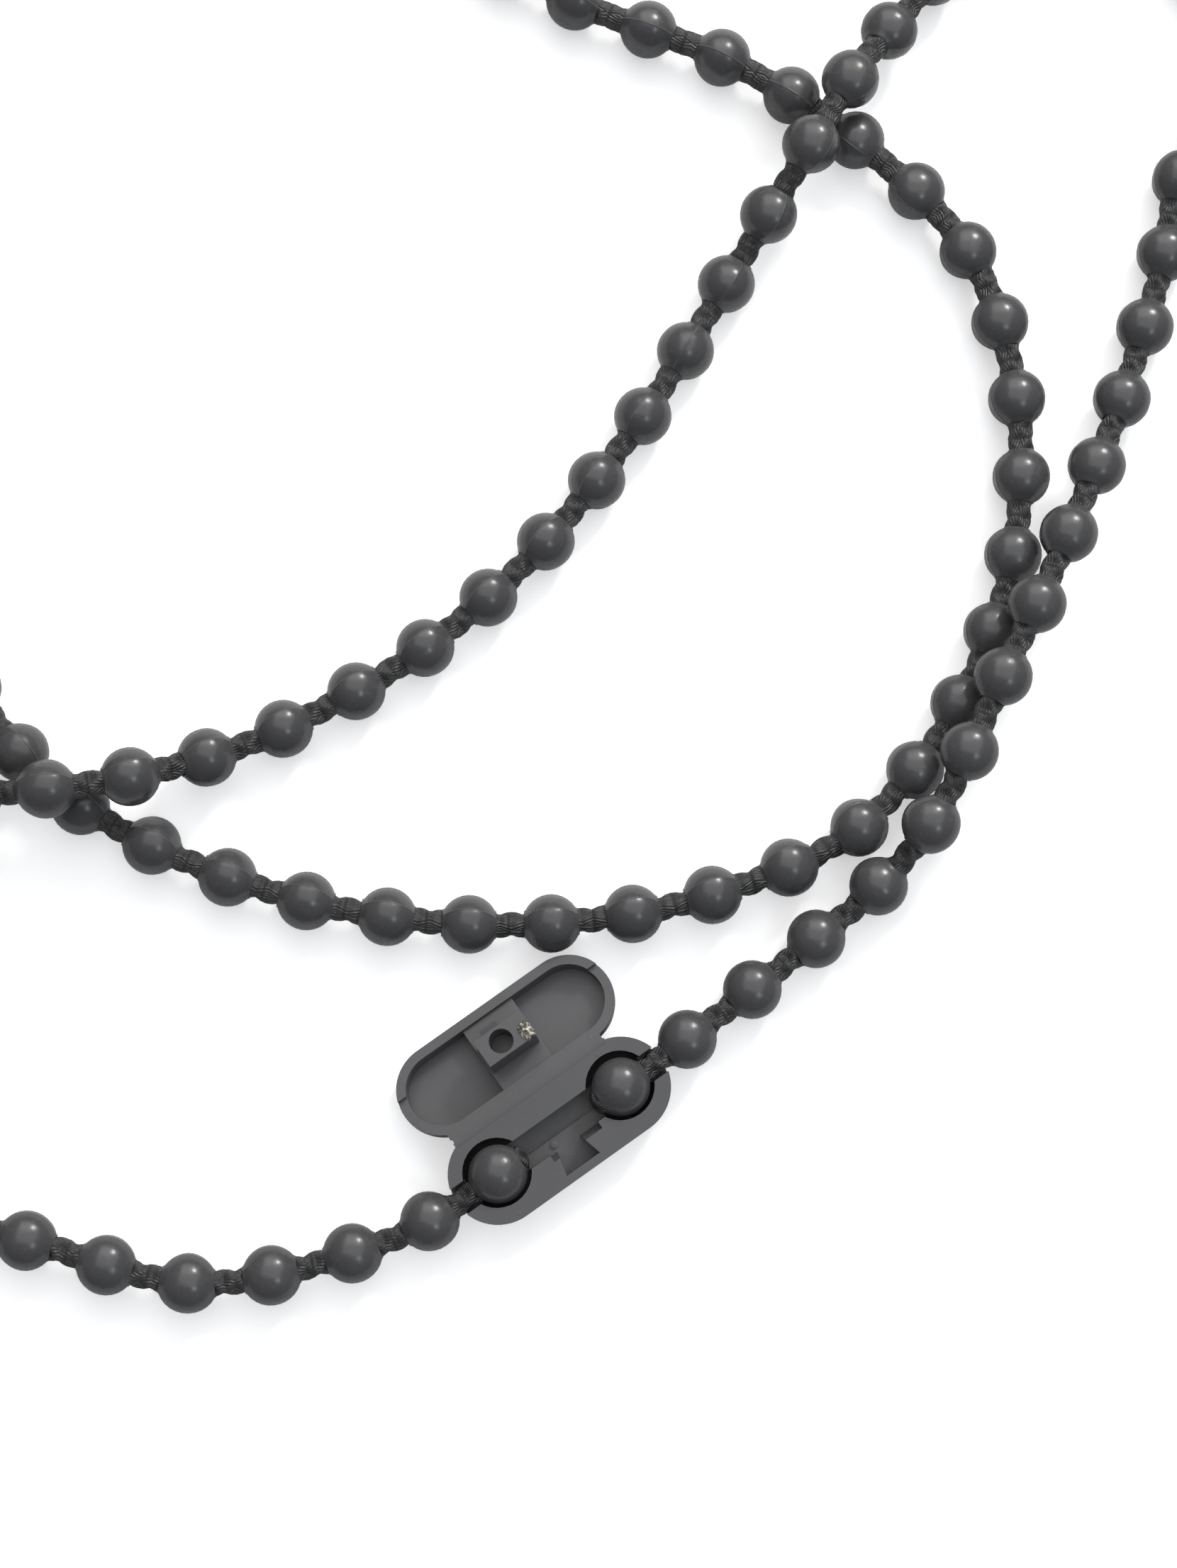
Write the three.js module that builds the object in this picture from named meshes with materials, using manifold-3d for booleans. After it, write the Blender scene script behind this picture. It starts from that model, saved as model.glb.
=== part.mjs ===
// Roller blind chain: a loop of plastic beads moulded on a braided cord, closed by a snap connector
// whose lid hangs open on its living hinge.
// Millimetres, +Z up. The origin is on the underside of the connector base, midway between its two
// ball pockets. +X and +Y lie on the table that the chain rests on.
import * as THREE from "three";
import { mergeVertices } from "three/addons/utils/BufferGeometryUtils.js";
import Module from "manifold-3d";

const wasm = await Module();
wasm.setup();

// Chain
const BEAD_DIAMETER = 4.3;
const BEAD_PITCH = 6; // from bead to bead, along the cord
const CORD_DIAMETER = 1.8;
const CHAIN_SIDES = 8; // flats round each bead
const CHAIN_JOINT_GAP = 0.3; // between two stretches of chain, in the middle of the cord between beads
const CORD_TAIL = 2.5; // cut end of the cord past the centre of a pocket bead

// Connector, seen from above with the lid open
const CONNECTOR_ANGLE = THREE.MathUtils.degToRad(35); // of its long axis, turned from +X
const POCKET_SPACING = 10.8; // between the centres of the two ball pockets
const POCKET_CLEARANCE = 0.35; // round a bead
const POCKET_FLOOR = 0.8; // plastic under a pocket
const CAVITY_OFFSET = 0.12; // of the pockets and the channel, from the base's centre line to the hinge
const BASE_LENGTH = 18;
const BASE_WIDTH = 7.2;
const BASE_HEIGHT = 3.7;
const LID_LENGTH = 17.8;
const LID_WIDTH = 6.75;
const LID_SHIFT = 0.35; // of the lid along the hinge, towards the right pocket
const LID_HEIGHT = 2.4;
const LID_RIM = 0.7; // wall round the lid's recesses
const LID_RECESS = 1.8; // depth of the recesses, for the tops of the beads
const EDGE_BREAK = 0.35; // rounding at the foot of the base
const LID_ROUNDING = 0.6; // how far the lid's wall curves in towards its outer face
const LID_ROUNDING_DEPTH = 1.5; // over this part of its height
const CORD_CLEARANCE = 0.15; // each side of the cord, in its slots
const CHANNEL_WIDTH = 2.4; // of the straight channel from pocket to pocket
const CHANNEL_FLOOR = 1.4; // plastic under the channel and the window
const GROOVE_WIDTH = 1.5; // of the deeper part of the channel, along its wall on the hinge side
const GROOVE_FLOOR = 0.9; // plastic under it
const SLOT_DIP = 0.7; // room under the cord in the end slots, for it to sink towards the table
const LID_NOTCH = 0.45; // depth of the cord notch in each end of the lid's rim

// Post on the lid, which drops into the channel, and the window that takes its barb
const POST_LENGTH = 4; // along the channel
const POST_SHIFT = 0.5; // of its middle, towards the right pocket
const POST_CLEARANCE = 0.1; // from the post to each wall of the channel
const POST_REACH = 2.2; // past the plane of the rim
const POST_HOLE = 1.8;
const POST_HOLE_SHIFT = -0.3; // of the hole from the middle of the post
const POST_HOLE_DEPTH = 2.2;
const BLOCK_SHOULDER = 0.15; // of the cross block that carries the post, past each end of the post
const BLOCK_DROP = 0.4; // from the rim down to the top of the block
const BARB_WIDTH = 1.4;
const BARB_PROUD = 0.5;
const BARB_HEIGHT = 1;
const SWING_CLEARANCE = 0.2; // where the channel's outer wall leans back, for the post as it swings in
const WINDOW_MOUTH = 1.9; // width of the window at the channel
const WINDOW_WIDTH = 2.9; // and at its far side
const WINDOW_WALL = 0.65; // plastic left between the window and the outer face
const PIP_DIAMETER = 0.6;
const PIP_HEIGHT = 0.15;
const PIP_OFFSET = 0.9; // from the middle, along the channel

// Living hinge
const HINGE_OFFSET = 0.1; // from the base's long side to the hinge axis
const LID_OFFSET = 0.3; // from the hinge axis to the lid's long side
const HINGE_LIFT = 0.1; // axis above the parting plane, which leaves the closed lid clear of the base
const HINGE_LENGTH = 13.2; // of the straight edges that it joins, which run on past the round ends
const HINGE_SHIFT = -0.2; // of their middle, towards the right pocket
const HINGE_EDGE = 0.45; // thickness of those edges
const LID_DROOP = THREE.MathUtils.degToRad(11); // past flat, until the lid's far edge meets the table

// Coil that holds the slack, and its tie
const COIL_CENTRE = [-69.8, 70];
const COIL_RADIUS = 26.56; // of the outer turn, where the chain runs in
const COIL_STEP = 4.6; // from one turn to the next
const COIL_TURNS = 2;
const POINTS_PER_TURN = 12;
const TIE_BEAD = 99; // the tie holds the cord past this bead, and the next turn beside it
const TURN_BEADS = 23; // beads in the turn that starts at the tie
const TIE_THICKNESS = 0.7;
const TIE_WIDTH = 1.4;
const TIE_CLEARANCE = 0.3;

const beadRadius = BEAD_DIAMETER / 2;
const cordRadius = CORD_DIAMETER / 2;
const pocketRadius = beadRadius + POCKET_CLEARANCE;
const pocketBeadHeight = POCKET_FLOOR + 0.05 + beadRadius;
const hingeY = BASE_WIDTH / 2 + HINGE_OFFSET;
const hingeZ = BASE_HEIGHT + HINGE_LIFT;
const lidMiddle = LID_OFFSET + LID_WIDTH / 2; // from the hinge axis to the lid's centre line
const channelOuter = CAVITY_OFFSET - CHANNEL_WIDTH / 2; // the channel's wall on the window's side
const channelInner = CAVITY_OFFSET + CHANNEL_WIDTH / 2; // and on the hinge's side
const postWidth = CHANNEL_WIDTH - 2 * POST_CLEARANCE;
const slotWidth = CORD_DIAMETER + 2 * CORD_CLEARANCE;

// Route of the chain, from the right pocket round to the left one: x, y, and how far the strand is
// lifted off the table where it lies over another. The points were chosen by hand.
const ROUTE_TO_COIL = [
  // out of the connector, over the outer strand and round the top right
  [9.4, 6.6, 0.25], [18.9, 13.9, 0], [23.5, 17.8, 0.45], [27.2, 22.3, 2.25], [32.4, 32.9, 3.55],
  [37.7, 43.9, 2.75], [42.5, 55, 0.35], [45.8, 65.3, 0], [46.9, 70.6, 0], [50.2, 76.6, 0],
  [51.1, 83.8, 0], [46.3, 90.9, 0], [37, 92.6, 0], [30.2, 88.5, 0.1],
  // down across the middle, over the outer strand at both crossings
  [25.8, 83.3, 0.85], [22.3, 78.5, 2.95], [19, 73, 3.45], [13, 63.5, 0.15], [6.4, 52.9, 0], [-1, 43.2, 0],
  [-9.8, 35.3, 0], [-20.1, 29.3, 0], [-25.8, 27, 0.85], [-31.6, 25.2, 3.3], [-37.6, 24.3, 3.9],
  [-44, 24.3, 1.4],
  // turned back on itself at the left
  [-52.7, 25, 0], [-59.7, 29.5, 0], [-61.2, 37.7, 0], [-55.1, 43.2, 0], [-47.5, 40.4, 0],
  [-43.2, 32.8, 0], [-38.9, 27.1, 0],
  // outer strand: along the bottom, up the right and away to the top left
  [-34.2, 23.2, 0], [-23.6, 18.2, 0], [-11.9, 15.4, 0], [-0.1, 15, 0], [11.4, 17.1, 0],
  [21.9, 21.9, 0], [29.6, 31.2, 0], [33.8, 42.2, 0], [34.4, 54, 0], [31.1, 65.3, 0], [22.7, 74.1, 0],
  [13.1, 80.3, 0], [1.9, 84.7, 0], [-3.4, 87.6, 0], [-13, 91.8, 0], [-30, 95, 0], [-50, 97.1, 0],
];
const ROUTE_FROM_COIL = [
  // up over the turns, out of the coil and back to the connector
  [-74.3, 86.9, 0.65], [-78.9, 85.8, 2.85], [-85.8, 82.5, 4.55], [-92.7, 76.1, 4.75],
  [-97.2, 67.6, 4.35], [-98.2, 58.6, 2.25], [-98.4, 50.5, 0.25], [-97.4, 40, 0], [-92.8, 24.1, 0],
  [-82.4, 9.6, 0], [-66.9, -0.8, 0], [-50.5, -4.6, 0], [-43.2, -6.4, 0], [-37.4, -7.9, 0],
  [-26, -10.8, 0], [-14.5, -8.6, 0], [-9.1, -6.3, 0.25],
];

// Names of the stretches that the chain is divided into, each with its last bead
const STRETCHES = [
  ["chain_end_right", 0], ["chain_over_strand_lower", 8], ["chain_over_strand_upper", 14],
  ["chain_return_right", 21], ["chain_middle_upper", 29], ["chain_middle_lower", 38],
  ["chain_return_left", 47], ["chain_outer_bottom", 57], ["chain_outer_right", 66],
  ["chain_outer_top", 74], ["chain_coil_lead_in", 84], ["chain_coil_outer_turn", 109],
  ["chain_coil_inner_turn", 131], ["chain_coil_lead_out", 140], ["chain_left_far", 150],
  ["chain_left_near", 161], ["chain_end_left", 162],
];

// Solids and meshes
function solidOf(geometry) {
  const bare = geometry.index ? geometry.toNonIndexed() : geometry.clone();
  bare.deleteAttribute("normal");
  bare.deleteAttribute("uv");
  const merged = mergeVertices(bare, 1e-4);
  return new wasm.Manifold(
    new wasm.Mesh({
      numProp: 3,
      vertProperties: merged.attributes.position.array,
      triVerts: new Uint32Array(merged.index.array),
    }),
  );
}

function geometryOf(solid) {
  const mesh = solid.getMesh();
  const geometry = new THREE.BufferGeometry();
  geometry.setAttribute("position", new THREE.BufferAttribute(mesh.vertProperties, 3));
  geometry.setIndex(new THREE.BufferAttribute(mesh.triVerts, 1));
  geometry.computeVertexNormals();
  return geometry;
}

function plastic(color, roughness) {
  return new THREE.MeshStandardMaterial({ color, roughness, metalness: 0 });
}

function named(name, geometry, material) {
  const mesh = new THREE.Mesh(geometry, material);
  mesh.name = name;
  return mesh;
}

function box(x0, x1, y0, y1, z0, z1) {
  const geometry = new THREE.BoxGeometry(x1 - x0, y1 - y0, z1 - z0);
  geometry.translate((x0 + x1) / 2, (y0 + y1) / 2, (z0 + z1) / 2);
  return solidOf(geometry);
}

function disc(x, y, z0, z1, radius, sides) {
  const geometry = new THREE.CylinderGeometry(radius, radius, z1 - z0, sides);
  geometry.rotateX(Math.PI / 2);
  geometry.translate(x, y, (z0 + z1) / 2);
  return solidOf(geometry);
}

// Outline with two straight sides and two round ends, about (0, y)
function stadium(length, width, y) {
  const radius = width / 2;
  const straight = length / 2 - radius;
  const shape = new THREE.Shape();
  shape.absarc(straight, y, radius, -Math.PI / 2, Math.PI / 2, false);
  shape.absarc(-straight, y, radius, Math.PI / 2, (3 * Math.PI) / 2, false);
  shape.closePath();
  return shape;
}

// Plate of that outline from z0 to z1, whose wall curves in by curveIn over the curveHeight at its foot
function plate(length, width, y, z0, z1, curveIn = 0, curveHeight = 0) {
  const outline = stadium(length - 2 * curveIn, width - 2 * curveIn, y);
  const geometry = new THREE.ExtrudeGeometry(outline, {
    depth: z1 - z0 - curveHeight,
    curveSegments: 14,
    bevelEnabled: curveIn > 0,
    bevelThickness: curveHeight,
    bevelSize: curveIn,
    bevelSegments: 3,
  });
  geometry.translate(0, 0, z0 + curveHeight);
  const tall = solidOf(geometry);
  return tall.intersect(box(-length, length, y - width, y + width, z0 - 1, z1));
}

// Connector base: two ball pockets joined by a channel that also takes the post, a cord slot through
// each end, and the window for the post's barb
function ballPocket(x) {
  const seat = pocketRadius * 0.45; // radius of the corner between the wall and the floor
  const profile = new THREE.Path();
  profile.moveTo(0, POCKET_FLOOR);
  profile.lineTo(pocketRadius - seat, POCKET_FLOOR);
  profile.absarc(pocketRadius - seat, POCKET_FLOOR + seat, seat, -Math.PI / 2, 0, false);
  profile.lineTo(pocketRadius, BASE_HEIGHT + 1);
  profile.lineTo(0, BASE_HEIGHT + 1);
  const geometry = new THREE.LatheGeometry(profile.getPoints(4), 32);
  geometry.rotateX(Math.PI / 2);
  geometry.scale(1, -1, 1);
  geometry.translate(x, CAVITY_OFFSET, 0);
  const turned = geometry.toNonIndexed();
  const p = turned.attributes.position;
  for (let i = 0; i < p.count; i += 3) {
    const second = [p.getX(i + 1), p.getY(i + 1), p.getZ(i + 1)];
    p.setXYZ(i + 1, p.getX(i + 2), p.getY(i + 2), p.getZ(i + 2));
    p.setXYZ(i + 2, ...second);
  }
  return solidOf(turned);
}

// Prism of an outline in the plane across the connector, from x0 to x1
function acrossPrism(outline, x0, x1) {
  const shape = new THREE.Shape(outline.map(([y, z]) => new THREE.Vector2(y, z)));
  const geometry = new THREE.ExtrudeGeometry(shape, { depth: x1 - x0, bevelEnabled: false });
  geometry.applyMatrix4(new THREE.Matrix4().set(0, 0, 1, x0, 1, 0, 0, 0, 0, 1, 0, 0, 0, 0, 0, 1));
  return solidOf(geometry);
}

function catchWindow() {
  const farSide = -(BASE_WIDTH / 2 - WINDOW_WALL);
  const shape = new THREE.Shape();
  shape.moveTo(-WINDOW_MOUTH / 2, channelOuter + 0.05);
  shape.lineTo(-WINDOW_WIDTH / 2, farSide);
  shape.lineTo(WINDOW_WIDTH / 2, farSide);
  shape.lineTo(WINDOW_MOUTH / 2, channelOuter + 0.05);
  shape.closePath();
  const geometry = new THREE.ExtrudeGeometry(shape, {
    depth: BASE_HEIGHT,
    bevelEnabled: false,
  });
  geometry.translate(0, 0, CHANNEL_FLOOR);
  return solidOf(geometry);
}

// Room for the corner of the post's tip, which swings in on an arc about the hinge
function swingRelief() {
  const tipAway = hingeY - CAVITY_OFFSET + postWidth / 2;
  const swing = Math.hypot(tipAway, POST_REACH - HINGE_LIFT) - hingeY;
  const half = POST_LENGTH / 2 + POST_CLEARANCE;
  return acrossPrism(
    [
      [CAVITY_OFFSET, CHANNEL_FLOOR], [CAVITY_OFFSET, BASE_HEIGHT + 1],
      [-swing - SWING_CLEARANCE, BASE_HEIGHT + 1], [-swing - SWING_CLEARANCE, BASE_HEIGHT],
      [channelOuter - 0.1, CHANNEL_FLOOR],
    ],
    POST_SHIFT - half, POST_SHIFT + half,
  );
}

function connectorBase() {
  const top = BASE_HEIGHT + 1;
  const pocketX = POCKET_SPACING / 2;
  const slotFloor = pocketBeadHeight - cordRadius - SLOT_DIP;
  const pipY = channelOuter + PIP_DIAMETER * 0.75;
  const edge = box(
    HINGE_SHIFT - HINGE_LENGTH / 2, HINGE_SHIFT + HINGE_LENGTH / 2,
    BASE_WIDTH / 2 - LID_RIM, BASE_WIDTH / 2,
    BASE_HEIGHT - HINGE_EDGE, BASE_HEIGHT,
  );
  return plate(BASE_LENGTH, BASE_WIDTH, 0, 0, BASE_HEIGHT, EDGE_BREAK, EDGE_BREAK)
    .add(edge)
    .subtract(ballPocket(pocketX))
    .subtract(ballPocket(-pocketX))
    .subtract(box(-pocketX, pocketX, channelOuter, channelInner, CHANNEL_FLOOR, top))
    .subtract(box(-pocketX, pocketX, channelInner - GROOVE_WIDTH, channelInner, GROOVE_FLOOR, top))
    .subtract(box(-BASE_LENGTH, -pocketX, -slotWidth / 2, slotWidth / 2, slotFloor, top))
    .subtract(box(pocketX, BASE_LENGTH, -slotWidth / 2, slotWidth / 2, slotFloor, top))
    .subtract(swingRelief())
    .subtract(catchWindow())
    .add(disc(-PIP_OFFSET, pipY, CHANNEL_FLOOR - 0.2, CHANNEL_FLOOR + PIP_HEIGHT, PIP_DIAMETER / 2, 10));
}

// Connector lid, about its hinge axis: a shallow tray in two halves, parted by the block that
// carries the hollow post
function lidRecess(rimZ) {
  const floorZ = rimZ - LID_RECESS;
  const half = POST_LENGTH / 2 + BLOCK_SHOULDER;
  const inner = plate(
    LID_LENGTH - 2 * LID_RIM, LID_WIDTH - 2 * LID_RIM, lidMiddle, floorZ, rimZ + 1,
  ).translate([LID_SHIFT, 0, 0]);
  const block = box(
    POST_SHIFT - half, POST_SHIFT + half, 0, 2 * lidMiddle, floorZ - 1, rimZ - BLOCK_DROP,
  );
  return inner.subtract(block);
}

function hollowPost(rimZ) {
  const middle = hingeY - CAVITY_OFFSET;
  const near = middle - postWidth / 2;
  const far = middle + postWidth / 2;
  const foot = rimZ - BLOCK_DROP - 0.1;
  const tip = rimZ + POST_REACH;
  const barb = acrossPrism(
    [
      [middle, tip - BARB_HEIGHT - BARB_PROUD], [far, tip - BARB_HEIGHT - BARB_PROUD],
      [far + BARB_PROUD, tip - BARB_HEIGHT], [far + BARB_PROUD, tip - BARB_HEIGHT / 2],
      [far, tip], [middle, tip],
    ],
    -BARB_WIDTH / 2, BARB_WIDTH / 2,
  );
  const hole = disc(
    POST_SHIFT + POST_HOLE_SHIFT, middle, tip - POST_HOLE_DEPTH, tip + 1, POST_HOLE / 2, 20,
  );
  return box(POST_SHIFT - POST_LENGTH / 2, POST_SHIFT + POST_LENGTH / 2, near, far, foot, tip)
    .add(barb)
    .subtract(hole);
}

// Notch in the rim at each end, over the cord
function cordNotch(side, rimZ) {
  const end = LID_SHIFT + (side * LID_LENGTH) / 2;
  const inside = end - side * 2 * LID_RIM;
  const outside = end + side;
  return box(
    Math.min(inside, outside), Math.max(inside, outside),
    hingeY - slotWidth / 2, hingeY + slotWidth / 2, rimZ - LID_NOTCH, 1,
  );
}

function connectorLid() {
  const rimZ = -HINGE_LIFT;
  const outerZ = rimZ - LID_HEIGHT;
  const edge = box(
    HINGE_SHIFT - HINGE_LENGTH / 2, HINGE_SHIFT + HINGE_LENGTH / 2,
    LID_OFFSET, LID_OFFSET + LID_RIM,
    rimZ - HINGE_EDGE, rimZ,
  );
  return plate(LID_LENGTH, LID_WIDTH, lidMiddle, outerZ, rimZ, LID_ROUNDING, LID_ROUNDING_DEPTH)
    .translate([LID_SHIFT, 0, 0])
    .add(edge)
    .subtract(lidRecess(rimZ))
    .subtract(cordNotch(-1, rimZ))
    .subtract(cordNotch(1, rimZ))
    .add(hollowPost(rimZ));
}

// Route: one smooth curve through the pocket beads, the chosen points and the turns of the coil
function pocketPoint(side) {
  const reach = (side * POCKET_SPACING) / 2;
  return new THREE.Vector3(
    reach * Math.cos(CONNECTOR_ANGLE), reach * Math.sin(CONNECTOR_ANGLE), pocketBeadHeight,
  );
}

function coilPoints() {
  const points = [];
  for (let i = 0; i <= COIL_TURNS * POINTS_PER_TURN; i++) {
    const turn = i / POINTS_PER_TURN;
    const angle = Math.PI / 2 + turn * 2 * Math.PI;
    const radius = COIL_RADIUS - COIL_STEP * turn;
    const x = COIL_CENTRE[0] + radius * Math.cos(angle);
    const y = COIL_CENTRE[1] + radius * Math.sin(angle);
    points.push(new THREE.Vector3(x, y, beadRadius));
  }
  return points;
}

function chainRoute() {
  const lying = ([x, y, lift]) => new THREE.Vector3(x, y, beadRadius + lift);
  const curve = new THREE.CatmullRomCurve3([
    pocketPoint(1),
    ...ROUTE_TO_COIL.map(lying),
    ...coilPoints(),
    ...ROUTE_FROM_COIL.map(lying),
    pocketPoint(-1),
  ]);
  curve.arcLengthDivisions = 6000;
  return curve;
}

const route = chainRoute();
const routeLength = route.getLength();
const lastBead = Math.round(routeLength / BEAD_PITCH);
const pitch = routeLength / lastBead; // the nominal pitch, made to divide the route evenly

// Point and directions of the chain at a distance along the route, which runs on straight past its ends
function along(distance) {
  const u = THREE.MathUtils.clamp(distance / routeLength, 0, 1);
  const centre = route.getPointAt(u);
  const tangent = route.getTangentAt(u);
  centre.addScaledVector(tangent, distance - u * routeLength);
  const side = new THREE.Vector3(0, 0, 1).cross(tangent).normalize();
  return { centre, tangent, side, up: tangent.clone().cross(side) };
}

// One ring of the chain's skin: its distance along the route and its radius
function beadRings(bead) {
  const middle = bead * pitch;
  const shoulder = 0.4 * beadRadius;
  const neck = Math.sqrt(beadRadius ** 2 - cordRadius ** 2);
  return [
    [middle - neck, cordRadius],
    [middle - shoulder, beadRadius],
    [middle + shoulder, beadRadius],
    [middle + neck, cordRadius],
  ];
}

// Beads and the cord through them as one skin of rings, closed at both ends
function chainStretch(firstBead, finalBead) {
  const startTail = firstBead === 0 ? CORD_TAIL : pitch / 2 - CHAIN_JOINT_GAP / 2;
  const endTail = finalBead === lastBead ? CORD_TAIL : pitch / 2 - CHAIN_JOINT_GAP / 2;
  const rings = [[firstBead * pitch - startTail, cordRadius]];
  for (let bead = firstBead; bead <= finalBead; bead++) rings.push(...beadRings(bead));
  rings.push([finalBead * pitch + endTail, cordRadius]);

  const positions = [];
  for (const [distance, radius] of rings) {
    const { centre, side, up } = along(distance);
    for (let k = 0; k < CHAIN_SIDES; k++) {
      const angle = ((k + 0.5) * 2 * Math.PI) / CHAIN_SIDES;
      const corner = radius * 1.03; // the flats lie just inside the round bead, the corners just outside
      positions.push(
        ...centre.clone()
          .addScaledVector(side, corner * Math.cos(angle))
          .addScaledVector(up, corner * Math.sin(angle)),
      );
    }
  }
  const indices = [];
  const corner = (ring, k) => ring * CHAIN_SIDES + (k % CHAIN_SIDES);
  for (let ring = 0; ring < rings.length - 1; ring++) {
    for (let k = 0; k < CHAIN_SIDES; k++) {
      indices.push(corner(ring, k), corner(ring, k + 1), corner(ring + 1, k + 1));
      indices.push(corner(ring, k), corner(ring + 1, k + 1), corner(ring + 1, k));
    }
  }
  const end = rings.length - 1;
  for (let k = 1; k < CHAIN_SIDES - 1; k++) {
    indices.push(corner(0, 0), corner(0, k + 1), corner(0, k));
    indices.push(corner(end, 0), corner(end, k), corner(end, k + 1));
  }
  const geometry = new THREE.BufferGeometry();
  geometry.setAttribute("position", new THREE.Float32BufferAttribute(positions, 3));
  geometry.setIndex(indices);
  geometry.computeVertexNormals();
  return geometry;
}

// Tie round both turns of the coil, in the gap between beads
function coilTie() {
  const outer = along((TIE_BEAD + 0.5) * pitch);
  const inner = along((TIE_BEAD + TURN_BEADS + 0.5) * pitch);
  const halfSpan = outer.centre.distanceTo(inner.centre) / 2 + cordRadius + TIE_CLEARANCE;
  const halfRise = cordRadius + TIE_CLEARANCE;
  const loop = (x, y) => {
    const radius = y;
    const path = new THREE.Path();
    path.absarc(x - radius, 0, radius, -Math.PI / 2, Math.PI / 2, false);
    path.absarc(-x + radius, 0, radius, Math.PI / 2, (3 * Math.PI) / 2, false);
    path.closePath();
    return path;
  };
  const shape = new THREE.Shape(
    loop(halfSpan + TIE_THICKNESS, halfRise + TIE_THICKNESS).getPoints(8),
  );
  shape.holes.push(loop(halfSpan, halfRise));
  const geometry = new THREE.ExtrudeGeometry(shape, {
    depth: TIE_WIDTH,
    curveSegments: 8,
    bevelEnabled: false,
  });
  geometry.translate(0, 0, -TIE_WIDTH / 2);
  const across = outer.centre.clone().sub(inner.centre).normalize();
  const up = new THREE.Vector3(0, 0, 1);
  const middle = outer.centre.clone().add(inner.centre).multiplyScalar(0.5);
  geometry.applyMatrix4(
    new THREE.Matrix4().makeBasis(across, up, across.clone().cross(up)).setPosition(middle),
  );
  return geometry;
}

// Assembly
const connectorPlastic = plastic(0x4b4b4f, 0.5);
const chainPlastic = plastic(0x35363a, 0.4);
const tiePlastic = plastic(0xd8d8d4, 0.6);

const part = new THREE.Group();

const connector = new THREE.Group();
connector.rotation.z = CONNECTOR_ANGLE;
connector.add(named("connector_base", geometryOf(connectorBase()), connectorPlastic));

const openLid = new THREE.Group();
openLid.position.set(0, hingeY, hingeZ);
openLid.rotation.x = -LID_DROOP;
openLid.add(named("connector_lid", geometryOf(connectorLid()), connectorPlastic));
connector.add(openLid);
part.add(connector);

let firstBead = 0;
for (const [name, finalBead] of STRETCHES) {
  part.add(named(name, chainStretch(firstBead, finalBead), chainPlastic));
  firstBead = finalBead + 1;
}
part.add(named("coil_tie", coilTie(), tiePlastic));

export default part;
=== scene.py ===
# %% [markdown]
# # A roller blind chain
# The loop of beads that works a roller blind, with its snap connector lying open on a pale floor.
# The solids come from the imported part, so this script starts by loading them. Every length below
# is written in millimetres, as a moulder would write it, and MM turns it into Blender's metres.

# %% Load the part
import math

import bmesh
import bpy
import numpy as np
from mathutils import Matrix, Vector, noise


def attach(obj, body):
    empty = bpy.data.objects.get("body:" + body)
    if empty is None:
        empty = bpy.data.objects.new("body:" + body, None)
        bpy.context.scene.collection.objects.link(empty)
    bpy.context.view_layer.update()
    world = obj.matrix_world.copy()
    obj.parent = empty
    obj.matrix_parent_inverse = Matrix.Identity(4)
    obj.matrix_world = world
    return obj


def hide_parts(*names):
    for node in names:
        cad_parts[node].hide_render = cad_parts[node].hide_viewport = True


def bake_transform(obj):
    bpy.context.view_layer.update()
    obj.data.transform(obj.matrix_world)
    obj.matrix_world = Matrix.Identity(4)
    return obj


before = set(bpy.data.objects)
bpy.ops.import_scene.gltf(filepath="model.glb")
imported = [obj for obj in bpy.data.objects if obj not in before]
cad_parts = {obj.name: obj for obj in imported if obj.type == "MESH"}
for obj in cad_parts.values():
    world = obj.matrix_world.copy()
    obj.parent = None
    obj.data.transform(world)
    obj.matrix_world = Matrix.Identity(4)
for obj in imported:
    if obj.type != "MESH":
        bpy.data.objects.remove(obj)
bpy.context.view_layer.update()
MM = 0.001

# %% [markdown]
# ## Camera
# The picture was taken by hand from a little above 200 mm, almost straight down. A camera can be
# aimed with a constraint or by its angles. Here the angles are known from the spacing of the
# beads, so they are set as two turns, first about the camera's own Y and then about X.

# %% Camera
PHOTO_HEIGHT = 2212  # pixels
FOCAL_LENGTH = 4000  # pixels
SENSOR = 36  # millimetres, along the picture's long side
CAMERA_AT = Vector((-3.916, 0.75, 208.59)) * MM
TILT_UP = math.radians(6.755)
TILT_LEFT = math.radians(-1.685)

camera_data = bpy.data.cameras.new("camera")
camera_data.sensor_width = SENSOR
camera_data.lens = SENSOR * FOCAL_LENGTH / PHOTO_HEIGHT
camera_data.clip_start = 10 * MM
camera = bpy.data.objects.new("camera", camera_data)
tilt = Matrix.Rotation(TILT_UP, 4, "X") @ Matrix.Rotation(TILT_LEFT, 4, "Y")
camera.matrix_world = Matrix.Translation(CAMERA_AT) @ tilt
bpy.context.scene.collection.objects.link(camera)
bpy.context.scene.camera = camera
print("lens", round(camera_data.lens, 1), "mm")

# %% [markdown]
# ## The route of the chain
# A bead chain bends easily between beads, so it falls into loose curves and crosses itself. The
# route is a list of points: x, y, and how far the strand is lifted where it lies
# over another. The spare length is wound into a coil, whose points come from a spiral.

# %% Route points
BEAD_RADIUS = 2.15
BEAD_PITCH = 6
CORD_RADIUS = 0.9
CONNECTOR_ANGLE = math.radians(35)
POCKET_REACH = 5.4  # from the middle of the connector to each pocket
POCKET_BEAD_HEIGHT = 3

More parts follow.
